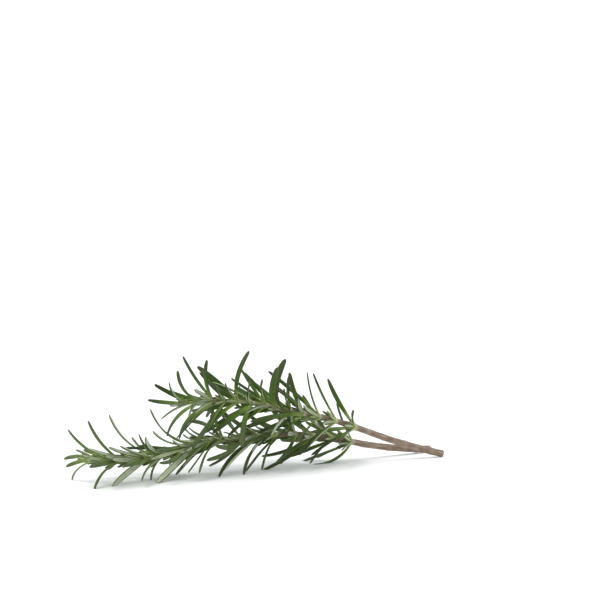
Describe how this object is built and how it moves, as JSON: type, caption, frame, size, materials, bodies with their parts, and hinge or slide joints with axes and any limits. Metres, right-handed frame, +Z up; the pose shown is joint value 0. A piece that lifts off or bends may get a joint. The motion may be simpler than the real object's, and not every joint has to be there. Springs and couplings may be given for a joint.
{
  "type": "rosemary bundle",
  "caption": "Small bunch of fresh cut rosemary: leafy sprigs with dark green needle leaves and woody stems, lying on a surface one on the other.",
  "frame": {"origin": "on the surface the bunch lies on, under the middle of its bounding box", "axes": "+Z up, +X along the bunch from the leafy tips to the cut ends of the stems"},
  "size_m": [0.2042, 0.0591, 0.0594],
  "materials": {
    "leaf": "semi-gloss above, felted below",
    "leaf_young": "soft satin",
    "stem_bark": "matt, finely fissured"
  },
  "bodies": {
    "root": {"sprig_a_stem": "stem_bark", "sprig_a_leaves_01": "leaf_young", "sprig_a_leaves_02": "leaf_young", "sprig_a_leaves_03": "leaf", "sprig_a_leaves_04": "leaf", "sprig_a_leaves_05": "leaf", "sprig_a_leaves_06": "leaf", "sprig_a_leaves_07": "leaf", "sprig_a_leaves_08": "leaf", "sprig_a_leaves_09": "leaf", "sprig_a_leaves_10": "leaf", "sprig_a_leaves_11": "leaf", "sprig_a_leaves_12": "leaf", "sprig_a_leaves_13": "leaf", "sprig_a_leaves_14": "leaf", "sprig_a_leaves_15": "leaf", "sprig_a_leaves_16": "leaf", "sprig_a_leaves_17": "leaf", "sprig_a_leaves_18": "leaf", "sprig_b_stem": "stem_bark", "sprig_b_leaves_01": "leaf_young", "sprig_b_leaves_02": "leaf_young", "sprig_b_leaves_03": "leaf", "sprig_b_leaves_04": "leaf", "sprig_b_leaves_05": "leaf", "sprig_b_leaves_06": "leaf", "sprig_b_leaves_07": "leaf", "sprig_b_leaves_08": "leaf", "sprig_b_leaves_09": "leaf", "sprig_b_leaves_10": "leaf", "sprig_b_leaves_11": "leaf", "sprig_b_leaves_12": "leaf", "sprig_b_leaves_13": "leaf"}
  },
  "joints": []
}
